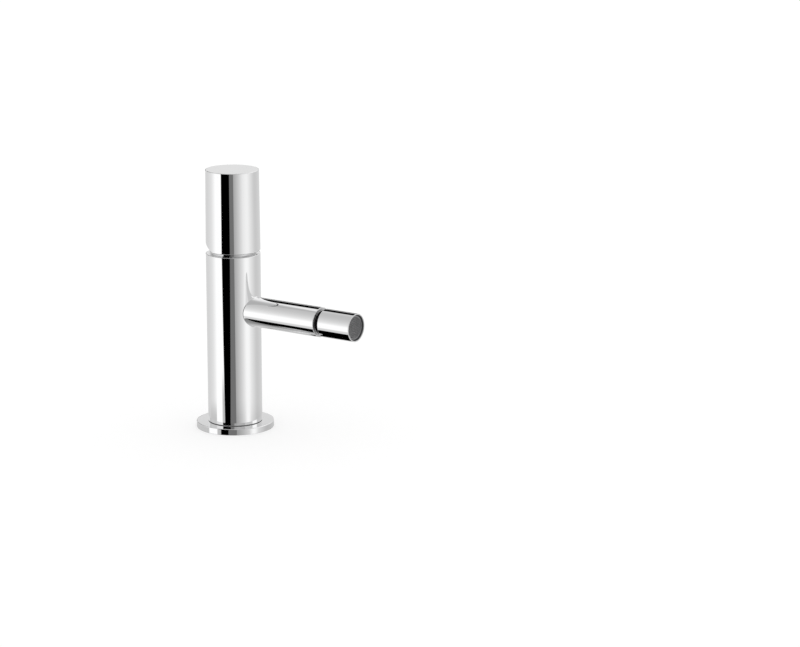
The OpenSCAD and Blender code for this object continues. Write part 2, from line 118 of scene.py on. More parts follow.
class Wiring:
    """Adds shader nodes to one node tree and joins them."""

    def __init__(self, tree: bpy.types.NodeTree) -> None:
        """Keeps the node tree of a material or of the world, and clears it."""
        self.tree = tree
        tree.nodes.clear()

    def add(
        self, kind: str, values: Optional[dict[Key, object]] = None, **settings: object
    ) -> bpy.types.Node:
        """Adds a node.

        Args:
            kind: The node's type.
            values: A socket to link, a number or a colour for inputs, by their number or name.
            settings: Properties to set on the node.

        Returns:
            The new node.
        """
        node = self.tree.nodes.new(kind)
        for key, setting in settings.items():
            setattr(node, key, setting)
        for key, value in (values or {}).items():
            if isinstance(value, bpy.types.NodeSocket):
                self.tree.links.new(value, node.inputs[key])
            else:
                node.inputs[key].default_value = value
        return node

    def sum(self, op: Op, a: Input, b: Input) -> bpy.types.NodeSocket:
        """Joins two values by one sum."""
        return self.add("ShaderNodeMath", {0: a, 1: b}, operation=op.value).outputs[0]

    def product(self, *factors: Input) -> Input:
        """Multiplies any number of values."""
        return functools.reduce(lambda a, b: self.sum(Op.MULTIPLY, a, b), factors)

    def step(
        self, value: Input, start: float, end: float, low: Input = 0.0, high: Input = 1.0
    ) -> bpy.types.NodeSocket:
        """Runs smoothly from a low to a high level as a value crosses the span from start to end."""
        values = dict(enumerate((value, start, end, low, high)))
        return self.add("ShaderNodeMapRange", values, interpolation_type="SMOOTHSTEP").outputs[0]

    def fence(self, value: Input, bounds: Sequence[float]) -> Input:
        """Gives the cover of a stretch that starts softly and, with four bounds, ends softly too.

        Args:
            value: The value along which the stretch lies.
            bounds: Where it starts and is full, and where it starts to end and has ended.

        Returns:
            The cover's socket, 0 to 1.
        """
        cover = self.step(value, *bounds[:2])
        if len(bounds) > 2:
            cover = self.product(cover, self.step(value, *bounds[2:], 1.0, 0.0))
        return cover

    def blend(self, share: Input, a: Input, b: Input) -> bpy.types.NodeSocket:
        """Blends two numbers by the share of the second."""
        return self.add("ShaderNodeMix", {0: share, 2: a, 3: b}, data_type="FLOAT").outputs[0]

    def tint(self, share: Input, a: Colour, b: Colour) -> bpy.types.NodeSocket:
        """Blends two colours by the share of the second."""
        values = {0: share, 6: (*a, 1.0), 7: (*b, 1.0)}
        return self.add("ShaderNodeMix", values, data_type="RGBA").outputs[2]

    def ramp(self, share: Input, stops: Sequence[Span]) -> bpy.types.NodeSocket:
        """Reads a level off a row of stops.

        Args:
            share: Place along the row, 0 to 1.
            stops: Place and level of each stop, in order.

        Returns:
            The level's socket.
        """
        node = self.add("ShaderNodeValToRGB", {0: share})
        row = node.color_ramp.elements
        while len(row) < len(stops):
            row.new(1.0)
        for item, (place, level) in zip(row, stops):
            item.position = place
            item.color = (level, level, level, 1.0)
        return node.outputs[0]

    def noise(self, noise: Noise) -> bpy.types.NodeSocket:
        """Adds noise.

        Args:
            noise: What the noise is like.

        Returns:
            The noise level's socket.
        """
        place = self.add("ShaderNodeTexCoord").outputs["Object"]
        place = self.add("ShaderNodeMapping", {"Vector": place, "Scale": noise.stretch}).outputs[0]
        values = {"Vector": place, "Scale": noise.scale, "Detail": noise.detail}
        return self.add("ShaderNodeTexNoise", values).outputs["Fac"]

    def bump(self, height: bpy.types.NodeSocket, depth: float) -> bpy.types.NodeSocket:
        """Turns a height of 0 to 1 into a normal; the depth of a full step is in metres."""
        return self.add("ShaderNodeBump", {"Distance": depth, "Height": height}).outputs[0]


@dataclass(frozen=True)
class Finish:
    """A procedural material of one of the record's slots.

    Attributes:
        slot: The record's slot.
        colour: The main colour.
        shade: The colour that the pattern mixes in.
        label: Ending of the material's name.
        metal: 1 for a metal, 0 for anything else.
        level: How strongly a surface that isn't metal mirrors.
        pattern: Clouds, stains or speckles in the colour and the roughness.
        span: Stretch of the pattern over which the roughness changes.
        roughness: Roughness before and after that stretch.
        relief: The surface's fine relief.
        depth: Depth of the relief, in metres.
    """

    slot: Slot
    colour: Colour
    shade: Colour
    label: str = "finish"
    metal: float = 0.0
    level: float = 0.5
    pattern: Noise = Noise(320.0, 4.0)
    span: Span = (0.25, 0.75)
    roughness: Span = (0.35, 0.55)
    relief: Noise = Noise(5200.0, 2.0)
    depth: float = 0.000012

    def material(self) -> bpy.types.Material:
        """Finds or makes the material.

        Returns:
            The material, named for its slot and label.
        """
        name = f"{self.slot.value}_{self.label}"
        found = bpy.data.materials.get(name)
        if found:
            return found
        made = bpy.data.materials.new(name)
        made.use_nodes = True
        wiring = Wiring(made.node_tree)
        pattern = wiring.noise(self.pattern)
        looks = {
            "Metallic": self.metal,
            "Base Color": wiring.tint(pattern, self.colour, self.shade),
            "Roughness": wiring.step(pattern, *self.span, *self.roughness),
            "Specular IOR Level": self.level,
            "Normal": wiring.bump(wiring.noise(self.relief), self.depth),
        }
        shader = wiring.add("ShaderNodeBsdfPrincipled", looks)
        wiring.add("ShaderNodeOutputMaterial", {"Surface": shader.outputs[0]})
        made.diffuse_color = (*self.colour, 1.0)
        return made


@dataclass(frozen=True)
class Plate(Finish):
    """Polished plating: a near mirror with a faint haze and a trace of polishing waves."""

    metal: float = 1.0
    pattern: Noise = Noise(55.0, 4.0)
    span: Span = (0.3, 0.75)
    roughness: Span = (0.012, 0.04)
    relief: Noise = Noise(160.0, 1.0)
    depth: float = 0.0000012


@dataclass(frozen=True)
class Turned(Finish):
    """Metal as it leaves the lathe, slightly stained and with fine rings from the tool."""

    metal: float = 1.0
    pattern: Noise = Noise(240.0, 5.0)
    roughness: Span = (0.22, 0.38)
    relief: Noise = Noise(9000.0, 1.0, (0.02, 0.02, 1.0))
    depth: float = 0.000004


@dataclass(frozen=True)
class Moulded(Finish):
    """Moulded plastic with a cloudy tone and a fine grain."""


@dataclass(frozen=True)
class Rubber(Moulded):
    """Moulded rubber, duller than plastic."""

    level: float = 0.35
    roughness: Span = (0.6, 0.8)
    depth: float = 0.00002


@dataclass(frozen=True)
class Lapped(Finish):
    """Lapped ceramic: pale and smooth, with a fine speckle that is slightly pitted."""

    pattern: Noise = Noise(2600.0, 6.0)
    span: Span = (0.3, 0.7)
    roughness: Span = (0.08, 0.2)
    relief: Noise = Noise(2600.0, 6.0)
    depth: float = 0.000003


CHROME = Plate(Slot.CHROME, (0.93, 0.93, 0.932), (0.915, 0.917, 0.92))
# Painted shade: a darker copy of the chrome for the collar in the gap under the handle, where shade falls
PAINTED_SHADE_CHROME = Plate(Slot.CHROME, (0.68, 0.68, 0.683), (0.62, 0.62, 0.625), "shaded")
# Partly painted shade: a rougher, darker copy of the chrome for the end faces in the joint between the spout
# and the nozzle; the roughness is their own, the darker tone stands in for the shade there
FACED_WITH_PAINTED_SHADE = Turned(Slot.CHROME, (0.8, 0.8, 0.805), (0.72, 0.72, 0.725), "faced", roughness=(0.3, 0.45))
BRASS = Turned(Slot.BRASS, (0.78, 0.57, 0.27), (0.62, 0.43, 0.2))
STEEL = Turned(Slot.STEEL, (0.6, 0.6, 0.61), (0.47, 0.47, 0.48))
SCREEN = Turned(Slot.SCREEN, (0.46, 0.46, 0.465), (0.35, 0.35, 0.355), roughness=(0.3, 0.45))
RUBBER = Rubber(Slot.RUBBER, (0.028, 0.028, 0.029), (0.05, 0.05, 0.051), relief=Noise(3800.0, 2.0))
# Partly painted shade: the rubber ring's grey tone also stands in for the shade in the seam under the body
FOOT_RING = Rubber(Slot.RUBBER, (0.17, 0.17, 0.172), (0.2, 0.2, 0.202), "foot_ring")
ACETAL = Moulded(Slot.ACETAL, (0.84, 0.84, 0.81), (0.76, 0.76, 0.73))
DARK_ACETAL = Moulded(Slot.DARK_ACETAL, (0.022, 0.022, 0.024), (0.036, 0.036, 0.038), roughness=(0.4, 0.6))
NYLON = Moulded(
    Slot.NYLON,
    (0.33, 0.33, 0.34),
    (0.27, 0.27, 0.28),
    roughness=(0.45, 0.65),
    relief=Noise(4200.0, 2.0),
    depth=0.00002,
)
CERAMIC = Lapped(Slot.CERAMIC, (0.88, 0.86, 0.81), (0.8, 0.78, 0.73))


@dataclass(frozen=True)
class Turn:
    """A corner of a turned outline.

    Attributes:
        r: Distance from the axis, in millimetres.
        h: Distance along the axis, in millimetres.
        edge: Radius that rounds the corner, in millimetres.
    """

    r: float
    h: float
    edge: float = 0.0


@dataclass(frozen=True)
class Spindle:
    """An axis that outlines are turned about, in millimetres."""

    origin: Vector
    along: Vector
    across: Vector

    def corner(self, angle: float, place: Vector, normal: Vector) -> Corner:
        """Swings a point of an outline, given as radius and height, and its normal round the axis."""
        out = math.cos(angle) * self.across + math.sin(angle) * self.along.cross(self.across)
        return self.origin + place.x * out + place.y * self.along, normal.x * out + normal.y * self.along


X, Y, Z = Vector((1.0, 0.0, 0.0)), Vector((0.0, 1.0, 0.0)), Vector((0.0, 0.0, 1.0))
UPRIGHT = Spindle(Vector((0.0, 0.0, 0.0)), Z, X)
LEVEL = Spindle(Vector((0.0, 0.0, SPOUT_Z)), X, Y)


def once_round(count: int) -> list[float]:
    """Gives angles spread evenly once round, in radians."""
    return [2.0 * math.pi * j / count for j in range(count)]


def between(a: Vector, b: Vector, share: float) -> Vector:
    """Gives the unit direction at a share of the way between two that aren't opposite."""
    return a.lerp(b, share).normalized()


def swept_edge(edge: Vector, first: Vector, second: Vector, radius: float, steps: int) -> Iterator[Corner]:
    """Rounds an outside edge between two faces.

    Args:
        edge: The point where the two faces meet.
        first: Normal of the face before the edge.
        second: Normal of the face after the edge.
        radius: Radius of the round.
        steps: Number of facets across it.

    Yields:
        Points with their normals, from the first face to the second.
    """
    centre = edge - radius * (first + second) / (1.0 + first.dot(second))
    for k in range(steps + 1):
        normal = between(first, second, k / steps)
        yield centre + radius * normal, normal


def rounded(turns: Sequence[Turn]) -> list[Corner]:
    """Rounds the corners of a closed outline that runs anticlockwise, radius to the right and height upwards.

    Args:
        turns: The outline's corners.

    Returns:
        Points along the outline with their outward normals; a sharp corner gives two.
    """
    made: list[Corner] = []
    count = len(turns)
    for i, here in enumerate(turns):
        before, after = turns[i - 1], turns[(i + 1) % count]
        into = Vector((here.r - before.r, here.h - before.h)).normalized()
        away = Vector((after.r - here.r, after.h - here.h)).normalized()
        first, second = Vector((into.y, -into.x)), Vector((away.y, -away.x))
        corner = Vector((here.r, here.h))
        if not here.edge:
            made += [(corner, first), (corner, second)]
            continue
        bend = 1.0 if into.x * away.y > into.y * away.x else -1.0
        made += list(swept_edge(corner, bend * first, bend * second, here.edge, EDGE_STEPS))
        if bend < 0:
            start = len(made) - EDGE_STEPS - 1
            made[start:] = [(place, -normal) for place, normal in made[start:]]
    return made


@dataclass
class Skin:
    """A mesh under construction: faces that carry a normal at each corner, with equal points joined."""

    name: str
    points: list[Vector] = field(default_factory=list)
    faces: list[list[int]] = field(default_factory=list)
    normals: list[Vector] = field(default_factory=list)
    dull_and_shaded: set[int] = field(default_factory=set)
    known: dict[tuple[int, ...], int] = field(default_factory=dict)

    def point(self, place: Vector) -> int:
        """Finds or adds a point.

        Args:
            place: The point in millimetres.

        Returns:
            Its number.
        """
        key = tuple(round(c / WELD) for c in place)
        if key not in self.known:
            self.known[key] = len(self.points)
            self.points.append(place * MM)
        return self.known[key]

    def face(self, corners: Sequence[Corner]) -> None:
        """Adds a face, less the corners that fall on one another.

        Args:
            corners: Points with normals, anticlockwise seen from outside.
        """
        numbers = [self.point(place) for place, _ in corners]
        kept = [k for k, number in enumerate(numbers) if number != numbers[k - 1]]
        if len(kept) > 2:
            self.faces.append([numbers[k] for k in kept])
            self.normals += [corners[k][1] for k in kept]

    def rows(
        self,
        rows: Sequence[Sequence[Corner]],
        shut: bool = True,
        skip: Optional[Callable[[int, int], bool]] = None,
        dull_and_shaded: range = range(0),
    ) -> None:
        """Joins rows of corners that each run once round.

        Args:
            rows: The rows, in order along the outline.
            shut: Whether the last row joins the first.
            skip: Says which faces, by row and column, stay open.
            dull_and_shaded: Rows whose faces are left less polished than the rest, and darker, the darker
                tone being painted shade.
        """
        for i in range(len(rows) if shut else len(rows) - 1):
            low, high = rows[i], rows[(i + 1) % len(rows)]
            for j in range(len(low)):
                k = (j + 1) % len(low)
                if not (skip and skip(i, j)):
                    start = len(self.faces)
                    self.face((low[j], low[k], high[k], high[j]))
                    self.dull_and_shaded.update(range(start, len(self.faces)) if i in dull_and_shaded else ())

    def turn(
        self,
        outline: Sequence[Corner],
        spindle: Spindle,
        shut: bool = True,
        count: int = ROUND_COUNT,
        dull_and_shaded: range = range(0),
    ) -> None:
        """Turns an outline, given as radius and height, about an axis in a number of columns."""
        rows = [[spindle.corner(a, *corner) for a in once_round(count)] for corner in outline]
        self.rows(rows, shut, dull_and_shaded=dull_and_shaded)

    def dress(self, finish: Finish, body: Body, node: str) -> None:
        """Makes the object, gives it its finish and hangs it on its body.

        Args:
            finish: The piece's finish.
            body: The body that it rides on.
            node: The solid that it stands for.
        """
        mesh = bpy.data.meshes.new(self.name)
        mesh.from_pydata(self.points, [], self.faces, shade_flat=False)
        mesh.normals_split_custom_set(self.normals)
        mesh.materials.append(finish.material())
        # Faces in the joint take the rougher chrome whose darker tone is painted shade
        if self.dull_and_shaded:
            mesh.materials.append(FACED_WITH_PAINTED_SHADE.material())
        for number in self.dull_and_shaded:
            mesh.polygons[number].material_index = 1
        piece = bpy.data.objects.new(self.name, mesh)
        bpy.context.scene.collection.objects.link(piece)
        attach(piece, body.value)
        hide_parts(node)
        LOG.info("%s: %d faces, rides on %s", self.name, len(self.faces), body.value)


@dataclass
class Turning:
    """A piece that is turned whole from one closed outline.

    Attributes:
        name: The piece's name.
        node: The solid that it stands for.
        body: The body that it rides on.
        finish: The piece's finish.
        outline: The corners of its outline.
        spindle: The axis that it is turned about.
        count: Number of columns round the axis.
    """

    name: str
    node: str
    body: Body
    finish: Finish
    outline: Sequence[Turn]
    spindle: Spindle = UPRIGHT
    count: int = ROUND_COUNT

    def build(self) -> None:
        """Turns the outline and dresses the piece."""
        skin = Skin(self.name)
        skin.turn(rounded(self.outline), self.spindle, count=self.count)
        skin.dress(self.finish, self.body, self.node)


def dress_solids(finish: Finish, *names: str) -> None:
    """Gives solids that stay as they are their finish.

    Args:
        finish: The finish.
        names: The solids' names.
    """
    for name in names:
        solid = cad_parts[name]
        solid.data.materials.clear()
        solid.data.materials.append(finish.material())
        LOG.info("%s: kept, in %s", name, finish.slot.value)


@dataclass(frozen=True)
class Hole:
    """A round hole up into the body's foot, in millimetres."""

    x: float
    y: float
    r: float
    depth: float


@dataclass
class Column:
    """The turned body on its flange, with the sealing ring below it and the trim collar on top."""

    r: float = COLUMN_R
    top: float = 114.7
    edge: float = 0.4
    foot_gap: float = 0.35
    foot_edge: float = 0.15
    spigot_r: float = 14.9
    deck_gap: float = 0.5
    nut_bore_r: float = 14.0
    nut_bore_z: float = 105.0
    cartridge_bore_r: float = 12.6
    seat_z: float = 89.68
    flange_r: float = 25.0
    flange_bore_r: float = 15.0
    flange_t: float = 4.0
    flange_edge: float = 0.4
    groove: Triple = (18.0, 22.0, 2.0)
    collar: Triple = (12.0, 15.0, 2.6)
    lip: float = 0.5
    holes: tuple[Hole, ...] = (
        Hole(-3.9, 7.0, 4.5, 14.0),
        Hole(-3.9, -7.0, 4.5, 14.0),
        Hole(9.0, 0.0, 3.4, 16.0),
    )

    def body(self) -> None:
        """Turns the body and bores the ports in its foot."""
        skin = Skin("body_skin")
        outline = rounded(
            [
                Turn(0.0, self.deck_gap),
                Turn(self.spigot_r, self.deck_gap, EASED),
                Turn(self.spigot_r, self.flange_t + self.foot_gap),
                Turn(self.r, self.flange_t + self.foot_gap, self.foot_edge),
                Turn(self.r, self.top, self.edge),
                Turn(self.nut_bore_r, self.top, EASED),
                Turn(self.nut_bore_r, self.nut_bore_z),
                Turn(self.cartridge_bore_r, self.nut_bore_z),
                Turn(self.cartridge_bore_r, self.seat_z),
                Turn(0.0, self.seat_z),
            ]
        )
        # The foot's face is closed on its own, so the corner on the axis is left out
        skin.turn(outline[2:], UPRIGHT, shut=False)
        self.foot(skin, outline[2][0].x)
        skin.dress(CHROME, Body.MIXER, "body")

    def foot(self, skin: Skin, r: float) -> None:
        """Closes the foot with a face that the ports and the stud hole open.

        Args:
            skin: The body's skin.
            r: Radius of the face.
        """
        rings = [(Vector((0.0, 0.0)), r, ROUND_COUNT)]
        rings += [(Vector((hole.x, hole.y)), hole.r, HOLE_COUNT) for hole in self.holes]
        flat: list[Vector] = []
        links: list[tuple[int, int]] = []
        for centre, radius, count in rings:
            start = len(flat)
            for j, angle in enumerate(once_round(count)):
                flat.append(centre + radius * Vector((math.cos(angle), math.sin(angle))))
                links.append((start + j, start + (j + 1) % count))
        points, _, faces, *_ = delaunay_2d_cdt(flat, links, [], 0, WELD)
        for face in faces:
            middle = sum((points[k] for k in face), Vector((0.0, 0.0))) / len(face)
            if all((middle - centre).length > radius for centre, radius, _ in rings[1:]):
                skin.face([(Vector((*points[k], self.deck_gap)), -Z) for k in reversed(face)])
        for hole in self.holes:
            spindle = Spindle(Vector((hole.x, hole.y, self.deck_gap)), Z, X)
            end, mouth = Vector((hole.r, hole.depth)), Vector((hole.r, 0.0))
            down, inward = Vector((0.0, -1.0)), Vector((-1.0, 0.0))
            bore = [(Vector((0.0, hole.depth)), down), (end, down), (end, inward), (mouth, inward)]
            skin.turn(bore, spindle, shut=False, count=HOLE_COUNT)

    def flange(self) -> None:
        """Turns the flange with its groove for the sealing ring."""
        inner, outer, depth = self.groove
        outline = [
            Turn(self.flange_bore_r, 0.0, SMALL),
            Turn(inner, 0.0),
            Turn(inner, depth),
            Turn(outer, depth),
            Turn(outer, 0.0),
            Turn(self.flange_r, 0.0, FINE),
            Turn(self.flange_r, self.flange_t, self.flange_edge),
            Turn(self.flange_bore_r, self.flange_t, SMALL),
        ]
        Turning("flange_skin", "base_flange", Body.MIXER, CHROME, outline).build()

    def gasket(self) -> None:
        """Turns the sealing ring, with soft edges and a lip in its lower face."""
        inner, outer, depth = self.groove
        middle = (inner + outer) / 2.0
        outline = [
            Turn(inner, 0.0, EASED),
            Turn(middle - self.lip, 0.0, SMALL),
            Turn(middle, self.lip, SMALL),
            Turn(middle + self.lip, 0.0, SMALL),
            Turn(outer, 0.0, EASED),
            Turn(outer, depth, SMALL),
            Turn(inner, depth, SMALL),
        ]
        Turning("sealing_ring", "base_gasket", Body.MIXER, RUBBER, outline).build()

    def foot_ring(self) -> None:
        """Turns the thin rubber ring that shows as a dark line between the body and the flange; its dark tone
        also stands in for the shade in that seam.
        """
        top, outer = self.flange_t + self.foot_gap, self.r - self.foot_gap
        outline = [
            Turn(self.flange_bore_r, self.flange_t),
            Turn(outer, self.flange_t, CRISP),
            Turn(outer, top, CRISP),
            Turn(self.flange_bore_r, top),
        ]
        Turning("foot_ring_skin", "foot_ring", Body.MIXER, FOOT_RING, outline).build()

    def trim(self) -> None:
        """Turns the collar that fills the gap under the handle; its darker chrome is painted shade for that
        gap.
        """
        inner, outer, height = self.collar
        outline = [
            Turn(inner, self.top, SMALL),
            Turn(outer, self.top, CRISP),
            Turn(outer, self.top + height, self.edge),
            Turn(inner, self.top + height, SMALL),
        ]
        Turning("collar_skin", "trim_collar", Body.MIXER, PAINTED_SHADE_CHROME, outline).build()

    def build(self) -> None:
        """Builds the column's pieces."""
        self.body()
        self.flange()
        self.gasket()
        self.foot_ring()
        self.trim()


@dataclass
class Handle:
    """The lever handle: a slim cap with a slanted cut at its rear and a screw hole above the cut."""

    base: float = 116.7
    top: float = 168.9
    r: float = COLUMN_R
    top_r: float = 17.075
    bore_r: float = 15.9
    ceiling: float = 165.9
    edge: float = 0.4
    cut_start: float = 3.5
    cut_angle: float = 26.5
    cut_blend: float = 0.5
    hole_z: float = 132.7
    hole_r: float = 2.6
    window: float = 5.0
    columns: int = 240
    steps: int = 6
    layers: int = 4

    def lift(self, x: float) -> tuple[float, Vector]:
        """Follows the handle's lower face, flat in front and slanted behind.

        Args:
            x: Distance in front of the axis.

        Returns:
            The face's height above the base, and its outward normal.
        """
        slope = math.tan(math.radians(self.cut_angle))
        past, w = -x - self.cut_start, self.cut_blend
        if past <= -w:
            rise, grade = 0.0, 0.0
        elif past >= w:
            rise, grade = past * slope, slope
        else:
            rise, grade = (past + w) ** 2 / (4.0 * w) * slope, (past + w) / (2.0 * w) * slope
        return rise, Vector((-grade, 0.0, -1.0)).normalized()

    def wall_r(self, z: float) -> float:
        """Gives the outside radius at a height, which narrows upwards."""
        share = (z - self.base - self.edge) / (self.top - self.base - 2.0 * self.edge)
        return self.r + (self.top_r - self.r) * share

    def wall(self, angle: float, z: float) -> Corner:
        """Gives a point of the outside wall.

        Args:
            angle: Angle from the spout's direction.
            z: Height above the deck.

        Returns:
            The point and its normal.
        """
        out = Vector((math.cos(angle), math.sin(angle), 0.0))
        draft = (self.r - self.top_r) / (self.top - self.base - 2.0 * self.edge)
        place = self.wall_r(z) * out
        place.z = z
        return place, (out + draft * Z).normalized()

    def bore(self, angle: float, z: float) -> Corner:
        """Gives a point of the inside wall.

        Args:
            angle: Angle from the spout's direction.
            z: Height above the deck.

        Returns:
            The point and its normal.
        """
        out = Vector((math.cos(angle), math.sin(angle), 0.0))
        place = self.bore_r * out
        place.z = z
        return place, -out

    def column(self, angle: float) -> list[Corner]:
        """Runs once round the handle's section at one angle.

        Args:
            angle: Angle from the spout's direction.

        Returns:
            Points and normals from the top of the bore, down it, up the outside and over the top.
        """
        low, high = self.hole_z - self.window, self.hole_z + self.window
        made = [self.bore(angle, z) for z in (self.ceiling, high, low)]
        inner, inner_face = self.lift(self.bore_r * math.cos(angle))
        edge, side = self.bore(angle, self.base + inner)
        made += list(swept_edge(edge, side, inner_face, self.edge / 2.0, self.steps))
        rise, face = self.lift(self.r * math.cos(angle))
        edge, side = self.wall(angle, self.base + rise)
        made += list(swept_edge(edge, face, side, self.edge, self.steps))
        made += [self.wall(angle, z) for z in (low, high)]
        edge, side = self.wall(angle, self.top)
        made += list(swept_edge(edge, side, Z, self.edge, self.steps))
        made += [(self.top * Z, Z), (self.ceiling * Z, -Z)]
        place, _ = self.bore(angle, self.ceiling)
        return made + [(place, -Z)]

    def build(self) -> None:
        """Builds the handle's skin and dresses the parts inside it."""
        skin = Skin("handle_skin")
        angles = once_round(self.columns)
        rows = list(zip(*(self.column(a) for a in angles)))
        reach = round(self.window / self.r / (2.0 * math.pi) * self.columns)
        first, last = self.columns // 2 - reach, self.columns // 2 + reach
        # The window's rows: the second down the bore, and the first up the outside past the lower face
        inside, outside = 1, 3 + 2 * (self.steps + 1)
        skin.rows(rows, skip=lambda i, j: i in (inside, outside) and first <= j < last)
        span = angles[first : last + 1]
        self.pierce(skin, span, self.wall, self.r, False)
        self.pierce(skin, span, self.bore, self.bore_r, True)
        self.tunnel(skin)
        skin.dress(CHROME, Body.HANDLE, "handle")
        dress_solids(NYLON, "handle_insert")
        dress_solids(STEEL, "grub_screw", "lever")

    def rim(self, wall: Callable[[float, float], Corner], turn: float) -> Span:
        """Finds where the screw hole's rim runs on a wall.

        Args:
            wall: The wall that the hole goes through.
            turn: Angle round the hole.

        Returns:
            Angle and height of the rim's point.
        """
        z = self.hole_z + self.hole_r * math.sin(turn)
        r = self.bore_r if wall == self.bore else self.wall_r(z)
        return math.pi + math.asin(self.hole_r * math.cos(turn) / r), z

    def pierce(
        self,
        skin: Skin,
        span: Sequence[float],
        wall: Callable[[float, float], Corner],
        r: float,
        inside: bool,
    ) -> None:
        """Fills the open window in a wall up to the screw hole's rim.

        Args:
            skin: The handle's skin.
            span: Angles of the window's columns.
            wall: The wall that the window is in.
            r: The wall's radius there.
            inside: Whether the wall faces inwards.
        """
        low, high = self.hole_z - self.window, self.hole_z + self.window
        border = [(a, low) for a in span] + [(a, high) for a in reversed(span)]
        turns = [math.atan2(z - self.hole_z, (a - math.pi) * r) for a, z in border]
        rims = [self.rim(wall, t) for t in turns]
        loops: list[list[Corner]] = []
        for k in range(self.layers + 1):
            share = k / self.layers
            loops.append(
                [wall(a + (b - a) * share, z + (y - z) * share) for (a, z), (b, y) in zip(border, rims)]
            )
        if inside:
            loops = [list(reversed(loop)) for loop in loops]
        skin.rows(loops, shut=False)

    def tunnel(self, skin: Skin) -> None:
        """Joins the two rims of the screw hole.

        Args:
            skin: The handle's skin.
        """
        rows: list[list[Corner]] = [[], []]
        for turn in once_round(HOLE_COUNT):
            inward = Vector((0.0, math.cos(turn), -math.sin(turn)))
            for row, wall in zip(rows, (self.wall, self.bore)):
                row.append((wall(*self.rim(wall, turn))[0], inward))
        skin.rows(rows, shut=False)


@dataclass
class Spout:
    """The straight spout that grows out of the body, and the ring that keeps the ball in its end."""

    r: float = 9.5
    reach: float = 69.6
    fillet: float = 0.6
    edge: float = 0.3
    lip_r: float = 7.2
    lip_t: float = 0.45
    chamber_r: float = 8.0
    chamber_x: float = 53.6
    waterway_r: float = 5.0
    tail_r: float = 7.0
    tail_x: float = 11.5
    ball_r: float = 6.58
    keeper_back: float = -0.5
    keeper_end: float = 8.1
    keeper_grip: float = 3.0
    keeper_mouth_r: float = 6.85
    root_steps: int = 8
    bowl_steps: int = 10

    def root(self, angle: float, share: float) -> Corner:
        """Gives a point of the fillet at the spout's root.

        Args:
            angle: Angle round the spout.
            share: 0 on the body, 1 on the spout.

        Returns:
            The point and its normal.
        """
        side = Vector((0.0, math.cos(angle), math.sin(angle)))
        centre = (self.r + self.fillet) * side
        centre.x = math.sqrt((COLUMN_R + self.fillet) ** 2 - centre.y**2)
        on_body = Vector((centre.x, centre.y, 0.0)).normalized()
        normal = between(on_body, side, share)
        return centre + SPOUT_Z * Z - self.fillet * normal, normal

    def on_body(self, angle: float) -> Vector:
        """Gives the point where the tail meets the body's surface."""
        y = self.tail_r * math.cos(angle)
        return Vector((math.sqrt(COLUMN_R**2 - y**2), y, SPOUT_Z + self.tail_r * math.sin(angle)))

    def tube(self) -> None:
        """Builds the spout, from its fillet on the body to its bored end."""
        skin = Skin("spout_skin")
        angles = once_round(ROUND_COUNT)
        rows = [[self.root(a, k / self.root_steps) for a in angles] for k in range(self.root_steps + 1)]
        outline = rounded(
            [
                Turn(self.r, self.tail_x),
                Turn(self.r, self.reach, self.edge),
                Turn(self.lip_r, self.reach, FINE),
                Turn(self.lip_r, self.reach - self.lip_t),
                Turn(self.chamber_r, self.reach - self.lip_t),
                Turn(self.chamber_r, self.chamber_x),
                Turn(self.waterway_r, self.chamber_x),
                Turn(self.waterway_r, self.tail_x),
                Turn(self.tail_r, self.tail_x),
                Turn(self.tail_r, COLUMN_R),
            ]
        )
        mouth = len(rows) + EDGE_STEPS
        # The first and the last corner only give the faces beside them their direction
        rows += [[LEVEL.corner(a, *corner) for a in angles] for corner in outline[2:-2]]
        ends = [self.root(a, 0.0) for a in angles]
        seats = [self.on_body(a) for a in angles]
        rows.append([(seat, Vector((0.0, math.cos(a), math.sin(a)))) for seat, a in zip(seats, angles)])
        rows.append([(seat, -normal) for seat, (_, normal) in zip(seats, ends)])
        rows.append([(place, -normal) for place, normal in ends])
        # The end face round the mouth takes the rougher chrome with painted shade for the joint
        skin.rows(rows, dull_and_shaded=range(mouth, mouth + EDGE_STEPS + 1))
        skin.dress(CHROME, Body.MIXER, "spout_tube")

    def keeper(self) -> None:
        """Turns the ring that is screwed into the spout's end and keeps the ball."""
        equator = math.asin(self.keeper_grip / self.ball_r)
        bowl: list[Turn] = []
        for k in range(self.bowl_steps + 1):
            angle = equator * (1.0 - k / self.bowl_steps)
            bowl.append(Turn(self.ball_r * math.cos(angle), JOINT_X + self.ball_r * math.sin(angle)))
        back, end = JOINT_X + self.keeper_back, JOINT_X + self.keeper_end
        outline = [
            Turn(self.ball_r, back),
            Turn(self.chamber_r, back, CRISP),
            Turn(self.chamber_r, end, FINE),
            Turn(self.keeper_mouth_r, end, FINE),
            *bowl,
        ]
        Turning("ball_keeper", "ball_retainer", Body.MIXER, DARK_ACETAL, outline, LEVEL, RING_COUNT).build()

    def build(self) -> None:
        """Builds the spout's pieces."""
        self.tube()
        self.keeper()
        dress_solids(ACETAL, "ball_seat")
        dress_solids(RUBBER, "ball_oring")


